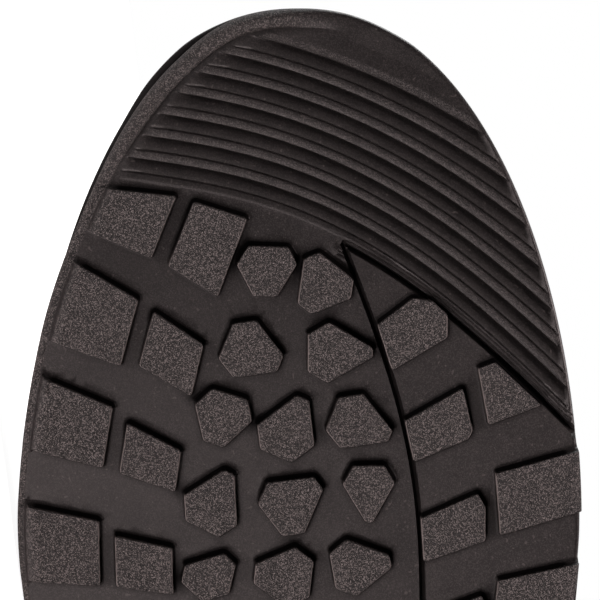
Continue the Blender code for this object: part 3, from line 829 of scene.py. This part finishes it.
def wall_share(points, top):
    """How far up a lug's wall each point is, how much painted shade it gets near the lug, and how much
    painted highlight its flank edge gets.
    """
    nearest = np.full(len(points), np.inf)
    toe_facing = np.zeros(len(points))
    for start, end in zip(top, np.roll(top, -1, axis=0)):
        distance = path_distance(points, (start, end))
        facing = (end[1] - start[1]) / np.linalg.norm(end - start)
        toe_facing = np.where(distance < nearest, facing, toe_facing)
        nearest = np.minimum(nearest, distance)
    out = np.where(inside(points, top), -nearest, nearest)
    side, toe = [look_up(LUG_WALL, out, "out", wall) for wall in ("side", "toe")]
    on_toe_side = growing((toe_facing - TOE_FACING) / TOE_FACING_RUN)
    share = side + (toe - side) * on_toe_side
    # Painted shade: darker the closer to the lug, and darker still at the foot of its toe-side wall
    shade_amount = fading(out / PAINTED_SHADE_REACH)
    shade_amount += TOE_WALL_SHADE * on_toe_side * fading((out - TOE_WALL_SHADE_FULL) / TOE_WALL_SHADE_RUN)
    # Painted highlight along the lug's flank edges
    on_flank = fading((toe_facing - HIGHLIGHT_TOE_FACING) / HIGHLIGHT_FACING_RUN)
    on_flank *= growing((toe_facing - HIGHLIGHT_HEEL_FACING) / HIGHLIGHT_FACING_RUN)
    return share, shade_amount, on_flank * bump_line(out - HIGHLIGHT_OUT, HIGHLIGHT_WIDTH)


def lug_share(points, lug, from_edge):
    """How far each point is up a lug, 0 on the ground and 1 on top, its painted shade near the lug, and its
    painted highlight.
    """
    low = lug.top.min(axis=0) - PAINTED_SHADE_REACH
    high = lug.top.max(axis=0) + PAINTED_SHADE_REACH
    near = np.all((points > low) & (points < high), axis=1)
    share, shade_amount, worn = np.zeros((3, len(points)))
    share[near], shade_amount[near], worn[near] = wall_share(points[near], lug.top)
    if lug.rolled_side:
        beyond_rim = from_edge - (rim_width(points) if lug.rolled_side == "lateral" else 0.0)
        lowest = ROLL_LOW[lug.rolled_side]
        share *= lowest + (1.0 - lowest) * quarter_round(beyond_rim / ROLL_WIDTH[lug.rolled_side])
    return share, shade_amount, worn


# The tread's relief and looks, with painted shade near the lugs and painted highlight on lug flank edges
Relief = namedtuple("Relief", "height grain gap worn ribbed proud")


def tread_relief(points, loop, lugs):
    """Height over the smooth tread, towards the ground, and what the rubber looks like at each point."""
    from_edge = np.maximum(depth_in(points, loop), 0.0)
    from_rim = from_edge - rim_width(points)
    ribs, banded = rib_relief(points, from_rim)
    height = ribs + plate_relief(points, from_edge) + edge_relief(points, from_edge)
    # Painted shade adds up from every lug near a point; painted highlight takes the strongest
    share, gap, worn = np.zeros((3, len(points)))
    for lug in lugs:
        on_lug, shade_amount, edge_highlight = lug_share(points, lug, from_edge)
        share = np.maximum(share, on_lug)
        gap += shade_amount
        worn = np.maximum(worn, edge_highlight)
    gap = np.where(share > LUG_GRAIN_FULL, 0.0, gap * growing(from_rim / PAINTED_SHADE_REACH))
    grain = RIM_GRAIN * rim_strength(points) * fading(from_rim / RIM_GRAIN_EDGE + 1.0)
    grain = np.where(banded, BAND_GRAIN, grain)
    grain = np.maximum(grain, np.clip(between(share, LUG_GRAIN_START, LUG_GRAIN_FULL), 0.0, 1.0))
    proud = np.where(points[:, 1] > 0.0, LUG_PROUD * share * fading(from_edge / PROUD_WIDTH), 0.0)
    ribbed = fading((rib_phase(points) - RIB_COUNT + RIB_GLOSS_FADE) / RIB_GLOSS_FADE)
    return Relief(height * (1.0 - share) + LUG_HEIGHT * share, grain, gap, worn, ribbed, proud)


# Meshes

def add_object(name, data):
    made = bpy.data.objects.new(name, data)
    bpy.context.scene.collection.objects.link(made)
    return made


def mesh_object(name, mesh, materials):
    """Makes an object from a bmesh and its materials."""
    data = bpy.data.meshes.new(name)
    mesh.to_mesh(data)
    mesh.free()
    for material in materials:
        data.materials.append(material)
    return add_object(name, data)


def new_piece(name, mesh, node, materials):
    """Makes an object in the frame from a bmesh in standing millimetres, and puts it in a node's place."""
    bmesh.ops.recalc_face_normals(mesh, faces=mesh.faces[:])
    mesh.transform(BOOT_TO_FRAME @ Matrix.Scale(MM, 4))
    piece = mesh_object(name, mesh, materials)
    piece.data.shade_smooth()
    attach(piece, "root")
    if node:
        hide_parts(node)
    return piece


def tread_lines(loop, lugs):
    """The lines that the tread's mesh keeps as edges, each with whether it is closed."""
    for inset in RIM_RINGS:
        yield offset_loop(loop, -inset), True
    for shift in (-RIM_GRAIN_EDGE, 0.0, RIM_CREASE_WIDTH):
        yield offset_loop(loop, -rim_width(loop) - shift), True
    for lug in lugs:
        for out in [LUG_INNER_RING] + column_of(LUG_WALL, "out"):
            yield offset_loop(lug.top, out), True
    across = np.arange(-BALL["lateral"], BALL["medial"], RIB_LINE_STEP)
    for number in range(-1, RIB_COUNT):
        for step in GROOVE:
            yield rib_line(number + step.share, across), False
    for path in (seam_path(), plate_toe_path()):
        for distance in SEAM_RINGS:
            yield offset_path(path, distance), False
            yield offset_path(path, -distance), False
    for line in LIP_LINES:
        for shift in (-LIP_LINE_WIDTH, 0.0, LIP_LINE_WIDTH):
            yield offset_path(plate_toe_path(), line + shift), False


def tread_mesh(loop, lugs):
    """Triangulates the tread inside its outline along all its lines, with a loose grid between them."""
    points = list(loop)
    edges = [(index, (index + 1) % len(loop)) for index in range(len(loop))]
    inner = offset_loop(loop, -RIM_RINGS[0] / 2.0)
    for line, closed in tread_lines(loop, lugs):
        keep = inside(line, inner)
        start = len(points)
        numbers = np.cumsum(keep) - 1 + start
        points += list(line[keep])
        for index in range(len(line) if closed else len(line) - 1):
            after = (index + 1) % len(line)
            if keep[index] and keep[after]:
                edges.append((int(numbers[index]), int(numbers[after])))
    tree = KDTree(len(points))
    for index, point in enumerate(points):
        tree.insert((*point, 0.0), index)
    tree.balance()
    across = np.arange(-GRID_HALF_WIDTH, GRID_HALF_WIDTH, GRID_STEP)
    x, y = np.meshgrid(np.arange(0.0, SOLE_LENGTH, GRID_STEP), across)
    x[::2] += GRID_STEP / 2.0
    grid = np.column_stack((x.ravel(), y.ravel()))
    grid = grid[inside(grid, inner)]
    points += [point for point in grid if tree.find((*point, 0.0))[2] > GRID_CLEAR]
    flat = delaunay_2d_cdt([Vector(point) for point in points], edges, [], 1, MERGE, False)
    return np.array(flat[0]), flat[2]


def make_outsole(material):
    """The moulded tread with the sole's side wall around it."""
    loop = outsole_loop()
    lugs = make_lugs()
    flat, faces = tread_mesh(loop, lugs)
    relief = tread_relief(flat, loop, lugs)
    flat[:, 1] += relief.proud
    z = tread_base(flat[:, 0]) - relief.height
    mesh = bmesh.new()
    for point in zip(flat[:, 0], flat[:, 1], z):
        mesh.verts.new(point)
    for name in TREAD_LAYERS:
        layer = mesh.verts.layers.float.new(name)
        for vertex, value in zip(mesh.verts, getattr(relief, name)):
            vertex[layer] = value
    mesh.verts.ensure_lookup_table()
    for face in faces:
        mesh.faces.new([mesh.verts[index] for index in face])
    close_side(mesh)
    piece = new_piece("outsole_tread", mesh, "outsole", [material])
    piece.data.set_sharp_from_angle(angle=SHARP_ANGLE)
    normals = piece.modifiers.new("normals", "WEIGHTED_NORMAL")
    normals.keep_sharp = True


def close_side(mesh):
    """Carries the tread's edge up to the midsole as a leaning wall, and closes it there."""
    rim = [border for border in mesh.edges if border.is_boundary]
    middle = Vector((SOLE_LENGTH / 2.0, 0.0, 0.0))
    for share in SIDE_RINGS:
        grown = bmesh.ops.extrude_edge_only(mesh, edges=rim)["geom"]
        for vertex in [item for item in grown if isinstance(item, bmesh.types.BMVert)]:
            top = float(outsole_top(vertex.co.x))
            vertex.co.z += (top - vertex.co.z) * share
            inwards = (middle - vertex.co).to_2d().normalized() * EDGE_LEAN / len(SIDE_RINGS)
            vertex.co.x += inwards.x
            vertex.co.y += inwards.y
        rim = [item for item in grown if isinstance(item, bmesh.types.BMEdge) and item.is_boundary]
    bmesh.ops.triangle_fill(mesh, use_beauty=False, use_dissolve=False, edges=rim)


def loft(mesh, rings, closed_ends, material=0):
    """Joins rings of equal count with quads, and closes the two ends where asked."""
    rows = [[mesh.verts.new(point) for point in ring] for ring in rings]
    count = len(rows[0])
    for low, high in zip(rows, rows[1:]):
        for index in range(count):
            after = (index + 1) % count
            face = mesh.faces.new((low[index], low[after], high[after], high[index]))
            face.material_index = material
    if closed_ends:
        for row in (rows[0], rows[-1]):
            mesh.faces.new(row).material_index = material
    return rows


def plate_rings(loop, thickness, under, radius):
    """Rings of a plate that follows the sole, with its two edges rounded."""
    corner = ROUND_MIDDLE * radius
    low = [(PLATE_RING_INSET, 0.0), (radius, 0.0), (corner, corner), (0.0, radius)]
    high = [(inset, thickness - level) for inset, level in reversed(low)]
    rings = []
    for inset, level in low + high:
        ring = offset_loop(loop, -inset)
        rings.append([(x, y, float(under(x)) + GAP + level) for x, y in ring])
    return rings


def make_plate(name, node, loop, thickness, under, radius, material):
    mesh = bmesh.new()
    loft(mesh, plate_rings(loop, thickness, under, radius), closed_ends=True)
    bmesh.ops.triangulate(mesh, faces=[face for face in mesh.faces if len(face.verts) > 4])
    new_piece(name, mesh, node, [material])


# Upper

def smooth_rows(rows, steps):
    """Runs a smooth curve through each column of a table."""
    padded = np.array([rows[0], *rows, rows[-1]])
    result = []
    for a, b, c, d in zip(padded, padded[1:], padded[2:], padded[3:]):
        for t in np.arange(steps) / steps:
            values = 0.5 * (2 * b + (c - a) * t + (2 * a - 5 * b + 4 * c - d) * t ** 2
                            + (3 * b - a - 3 * c + d) * t ** 3)
            result.append(rows[0]._make(values))
    return result + [rows[-1]]


def oval(section, angle):
    """A section's free oval, from its back round the lateral side."""
    widest = section.back + section.widest * (section.front - section.back)
    along = -np.cos(angle)
    reach = np.where(along > 0, section.front - widest, widest - section.back)
    x = widest + reach * np.copysign(np.abs(along) ** (2.0 / OVAL_POWER), along)
    side = np.where(angle < np.pi, section.lateral, section.medial)
    sign = np.where(angle < np.pi, -1.0, 1.0)
    middle = centre_line(x)
    y = middle + sign * (side - sign * middle) * np.abs(np.sin(angle)) ** (2.0 / OVAL_POWER)
    z = section.back_z + (section.front_z - section.back_z) * between(x, section.back, section.front)
    return np.column_stack((x, y, z))


def upper_grid():
    """Outer surface of the upper: rows from the feather edge to the collar, points round each row."""
    loop = sole_loop(RING_POINTS)
    angle = 2.0 * np.pi * np.arange(RING_POINTS) / RING_POINTS
    rows = []
    for section in smooth_rows(SECTIONS, RING_STEPS):
        foot = offset_loop(loop, -section.inset)
        low = np.column_stack((foot, midsole_top(foot[:, 0]) + section.rise))
        rows.append(oval(section, angle) * (1.0 - section.sole) + low * section.sole)
    return np.array(rows)


def grid_normals(grid):
    around = np.roll(grid, -1, axis=1) - np.roll(grid, 1, axis=1)
    along = np.gradient(grid, axis=0)
    return unit(np.cross(around, along))


def crease_depth(grid):
    """How far each point of the upper sinks into its creases."""
    side_view = grid[:, :, [0, 2]]
    depth = np.zeros(grid.shape[:2])
    for crease in CREASES:
        start = np.array((crease.start_x, crease.start_z))
        along = np.array((crease.end_x, crease.end_z)) - start
        share = (side_view - start) @ along / (along @ along)
        across = np.array((-along[1], along[0])) / np.linalg.norm(along)
        above = (side_view - start) @ across
        fade = growing(share / CREASE_FADE) * growing((1.0 - share) / CREASE_FADE)
        trough = bump_line(above, crease.width)
        above_ridge = above - CREASE_RIDGE_ABOVE * crease.width
        ridge = CREASE_RIDGE * bump_line(above_ridge, CREASE_RIDGE_WIDTH * crease.width)
        depth += crease.depth * fade * (trough - ridge)
    return depth


def creased_grid():
    """The upper's outer surface with its creases, and its normals."""
    grid = upper_grid()
    grid = grid - grid_normals(grid) * crease_depth(grid)[:, :, None]
    return grid, grid_normals(grid)


def travelled(path):
    """The length of a path, whose rows are a place and a normal, up to each row."""
    lengths = np.linalg.norm(np.diff(path[:, :3], axis=0), axis=1)
    return np.concatenate(((0.0,), np.cumsum(lengths)))


def walk(path, step):
    """Steps of equal length along a path."""
    lengths = travelled(path)
    stops = np.arange(step / 2.0, lengths[-1], step)
    return np.column_stack([np.interp(stops, lengths, values) for values in path.T])


def add_stitches(mesh, steps, half):
    """Small ellipsoids along a path, half sunk in the leather."""
    along = unit(np.gradient(steps[:, :3], axis=0))
    out = unit(steps[:, 3:])
    across = np.cross(out, along)
    angle, turn = np.meshgrid(2.0 * np.pi * np.arange(STITCH_SIDES) / STITCH_SIDES, STITCH_RINGS)
    rings = np.dstack((np.sin(turn), np.cos(turn) * np.cos(angle), np.cos(turn) * np.sin(angle))) * half
    for middle, *axes in zip(steps[:, :3], along, across, out):
        loft(mesh, middle + rings @ np.array(axes), closed_ends=True)


def make_stitches(thread):
    grid, normals = creased_grid()
    surface = np.concatenate((grid, normals), axis=2)
    hem = []
    for column in range(RING_POINTS + 1):
        strand = surface[::-1, column % RING_POINTS]
        lengths = travelled(strand)
        hem.append([np.interp(COLLAR_HEM, lengths, values) for values in strand.T])
    mesh = bmesh.new()
    add_stitches(mesh, walk(np.array(hem), STITCH_PITCH), STITCH_HALF)
    shaft = surface[surface[:, 0, 2] > SEAM_LOW_Z]
    for column in (-SEAM_ROW_COLUMN, SEAM_ROW_COLUMN):
        add_stitches(mesh, walk(shaft[:, column], STITCH_PITCH), STITCH_HALF)
    add_stitches(mesh, walk(shaft[:, 0], CORD_HALF[0]), CORD_HALF)
    new_piece("upper_stitches", mesh, None, [thread])


def make_upper(leather, lining):
    outer, normals = creased_grid()
    inner = outer - normals * WALL
    mesh = bmesh.new()
    collar = [outer[-1] - normals[-1] * WALL * share + np.array((0.0, 0.0, rise))
              for share, rise in COLLAR_RINGS]
    rows = loft(mesh, list(outer) + collar + [inner[-1]], closed_ends=False)
    inside_rows = loft(mesh, list(inner[::-1]), closed_ends=False, material=1)
    bmesh.ops.remove_doubles(mesh, verts=rows[-1] + inside_rows[0], dist=MERGE)
    for index in range(RING_POINTS):
        after = (index + 1) % RING_POINTS
        mesh.faces.new((rows[0][after], rows[0][index], inside_rows[-1][index], inside_rows[-1][after]))
    new_piece("upper_leather", mesh, "upper", [leather, lining])


# Materials

def feed(socket, value):
    """Gives a socket a number or a colour, or links another node's output to it."""
    if isinstance(value, bpy.types.NodeSocket):
        socket.id_data.links.new(value, socket)
    else:
        socket.default_value = (*value, 1.0) if isinstance(value, tuple) else value


def fill(made, **values):
    """Sets a node's settings and feeds its sockets, by name."""
    for name, value in values.items():
        if hasattr(made, name):
            setattr(made, name, value)
        else:
            feed(made.inputs[name.replace("_", " ")], value)
    return made


def node(tree, kind, **values):
    return fill(tree.nodes.new("ShaderNode" + kind), **values)


def new_material(name, colour, roughness):
    material = bpy.data.materials.new(name)
    material.use_nodes = True
    tree = material.node_tree
    return material, tree, fill(tree.nodes["Principled BSDF"], Base_Color=colour, Roughness=roughness)


def texture(tree, kind, **values):
    """A texture over the boot's own place, with features of about 1 / scale metres."""
    return node(tree, kind, Vector=node(tree, "TexCoord").outputs["Object"], **values).outputs


def noise(tree, scale, detail, roughness=0.5):
    return texture(tree, "TexNoise", Scale=scale, Detail=detail, Roughness=roughness)["Fac"]


def ramp(tree, source, span, start=0.0, end=1.0):
    """Maps a range of a value to another range."""
    low, high = span
    made = node(tree, "MapRange", Value=source, From_Min=low, From_Max=high, To_Min=start, To_Max=end)
    return made.outputs["Result"]


def mix_colour(tree, factor, first, second):
    """A Mix node has sockets for each kind of value: these are its factor and its two colours."""
    made = node(tree, "Mix", data_type="RGBA")
    for number, value in ((0, factor), (6, first), (7, second)):
        feed(made.inputs[number], value)
    return made.outputs[2]


def tinted(tree, colour, source, tint):
    return mix_colour(tree, ramp(tree, source, tint.span, end=tint.share), colour, tint.colour)


def add_bump(tree, shader, height, strength, invert=False):
    """Fine relief from a texture."""
    bump = node(tree, "Bump", Distance=BUMP_DISTANCE, Height=height, Strength=strength, invert=invert)
    fill(shader, Normal=bump.outputs["Normal"])


def ground_colour(tree, flecks, gap):
    """The smooth rubber: cloudy, with fine flecks and dust, and painted shade that darkens it close to the
    lugs.
    """
    cloudy = ramp(tree, noise(tree, scale=160.0, detail=6.0, roughness=0.75), CLOUD_SPAN)
    colour = mix_colour(tree, cloudy, RUBBER_DARK, RUBBER_LIGHT)
    colour = tinted(tree, colour, flecks, FLECKS)
    colour = tinted(tree, colour, noise(tree, scale=1500.0, detail=0.0), DUST)
    return tinted(tree, colour, gap, PAINTED_SHADE)


def outsole_material():
    """Black rubber: smooth ground and walls, spark-eroded lug tops, bands and rim."""
    material, tree, shader = new_material("outsole_rubber_look", colour=(0.02, 0.018, 0.018), roughness=0.5)
    layers = [node(tree, "Attribute", attribute_name=name).outputs["Fac"] for name in TREAD_LAYERS]
    grain, gap, worn, ribbed = layers
    pebbles = texture(tree, "TexVoronoi", Scale=5000.0)
    grained = mix_colour(tree, ramp(tree, pebbles["Color"], GRAIN_SPAN), GRAIN_DARK, GRAIN_LIGHT)
    colour = mix_colour(tree, grain, ground_colour(tree, pebbles["Color"], gap), grained)
    gloss = ramp(tree, ribbed, WHOLE, SMOOTH_GLOSS, RIB_GLOSS)
    gloss = ramp(tree, grain, WHOLE, gloss, GRAIN_GLOSS)
    # Painted shade also dims the gloss close to the lugs
    lit = ramp(tree, gap, PAINTED_SHADE.span, 1.0, PAINTED_SHADE_GLOSS)
    # Painted highlight lightens the lug flank edges
    fill(shader, Base_Color=tinted(tree, colour, worn, PAINTED_HIGHLIGHT),
         Roughness=ramp(tree, grain, WHOLE, *GRAIN_ROUGHNESS),
         Specular_IOR_Level=ramp(tree, lit, WHOLE, 0.0, gloss))
    add_bump(tree, shader, pebbles["Distance"], ramp(tree, grain, WHOLE, *GRAIN_BUMP), invert=True)
    return material


def leather_material():
    material, tree, shader = new_material("black_leather_look", colour=(0.02, 0.018, 0.017), roughness=0.45)
    cloud = noise(tree, scale=30.0, detail=4.0, roughness=0.6)
    fill(shader, Base_Color=mix_colour(tree, ramp(tree, cloud, CLOUD_SPAN), LEATHER_DARK, LEATHER_LIGHT),
         Roughness=ramp(tree, cloud, CLOUD_SPAN, *LEATHER_ROUGHNESS))
    add_bump(tree, shader, texture(tree, "TexVoronoi", Scale=900.0)["Distance"], LEATHER_BUMP)
    return material


def plain_material(look):
    """A matt material with fine mottling."""
    material, tree, shader = new_material(look.name, look.light, look.roughness)
    speckle = noise(tree, look.scale, detail=3.0, roughness=0.6)
    colour = mix_colour(tree, ramp(tree, speckle, CLOUD_SPAN), look.dark, look.light)
    fill(shader, Base_Color=colour, Specular_IOR_Level=PLAIN_GLOSS)
    add_bump(tree, shader, speckle, look.bump)
    return material


# Studio

def seen_by_camera(tree, otherwise, strength):
    """One strength for what the camera sees, and another for the light on the boot."""
    return ramp(tree, node(tree, "LightPath").outputs["Is Camera Ray"], WHOLE, otherwise, strength)


def add_floor():
    mesh = bmesh.new()
    bmesh.ops.create_grid(mesh, x_segments=1, y_segments=1, size=FLOOR_HALF)
    material, tree, shader = new_material("studio_floor_look", colour=(0.5, 0.5, 0.5), roughness=0.9)
    glow = seen_by_camera(tree, 0.0, FLOOR_GLOW)
    fill(shader, Specular_IOR_Level=0.0, Emission_Color=WHITE, Emission_Strength=glow)
    floor = mesh_object("studio_floor", mesh, [material])
    floor.location.z = -FLOOR_DROP
    floor.visible_shadow = False
    floor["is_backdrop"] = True


def add_world():
    """White behind the boot, dim around it."""
    world = bpy.data.worlds.new("studio")
    bpy.context.scene.world = world
    world.use_nodes = True
    tree = world.node_tree
    strength = seen_by_camera(tree, WORLD_TO_BOOT, WORLD_TO_CAMERA)
    fill(tree.nodes["Background"], Color=WHITE, Strength=strength)


def add_light(look, location, target, colour):
    data = bpy.data.lights.new(look.name, "AREA")
    data.shape = "RECTANGLE"
    data.size = look.size
    data.size_y = look.size
    data.energy = look.power
    data.color = colour
    light = add_object(look.name, data)
    light.location = location
    light.rotation_euler = (target - location).to_track_quat("-Z", "Y").to_euler()


def camera_axes():
    """Towards the camera, and up in the picture, as directions of the standing boot."""
    towards = Vector((math.sin(CAMERA_TILT), 0.0, -math.cos(CAMERA_TILT)))
    up = Vector((math.cos(CAMERA_TILT), 0.0, math.sin(CAMERA_TILT)))
    return towards, up


def add_camera():
    towards, up = camera_axes()
    turn = BOOT_TO_FRAME.to_3x3()
    back = turn @ towards
    rise = turn @ up
    right = rise.cross(back)
    data = bpy.data.cameras.new("camera")
    data.sensor_width = SENSOR_WIDTH
    data.lens = SENSOR_WIDTH * CAMERA_DISTANCE / FRAME_WIDTH
    camera = add_object("camera", data)
    camera.matrix_world = Matrix((right, rise, back)).transposed().to_4x4()
    camera.location = BOOT_TO_FRAME @ ((CAMERA_TARGET + towards * CAMERA_DISTANCE) * MM)
    bpy.context.scene.camera = camera


def add_front_light(look):
    towards, up = camera_axes()
    spot = CAMERA_TARGET + towards * look.distance + Vector((0.0, look.across, 0.0)) + up * look.up
    add_light(look, BOOT_TO_FRAME @ (spot * MM), BOOT_TO_FRAME @ (CAMERA_TARGET * MM), KEY_COLOUR)


def add_studio():
    add_floor()
    add_world()
    for look in FRONT_LIGHTS:
        add_front_light(look)
    for look in ROOM_LIGHTS:
        add_light(look, Vector(look.place), ROOM_MIDDLE, WHITE)
    bpy.context.scene.view_settings.view_transform = "Standard"


def main():
    midsole, footbed, lining, thread = [plain_material(look) for look in PLAIN_LOOKS]
    make_outsole(outsole_material())
    make_plate("midsole_edge", "midsole",
               midsole_loop(), MIDSOLE_THICKNESS, outsole_top, MIDSOLE_ROUND, midsole)
    inset = UPPER_INSET + WALL + INSOLE_CLEAR
    make_plate("insole_footbed", "insole", offset_loop(sole_loop(OUTLINE_POINTS), -inset),
               INSOLE_THICKNESS, midsole_top, INSOLE_ROUND, footbed)
    make_upper(leather_material(), lining)
    make_stitches(thread)
    add_studio()
    add_camera()


main()
VISUAL_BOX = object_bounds()
boxes = {"cad": CAD_BOX, "visual": VISUAL_BOX}
{name: [list(corner) for corner in box] for name, box in boxes.items()}
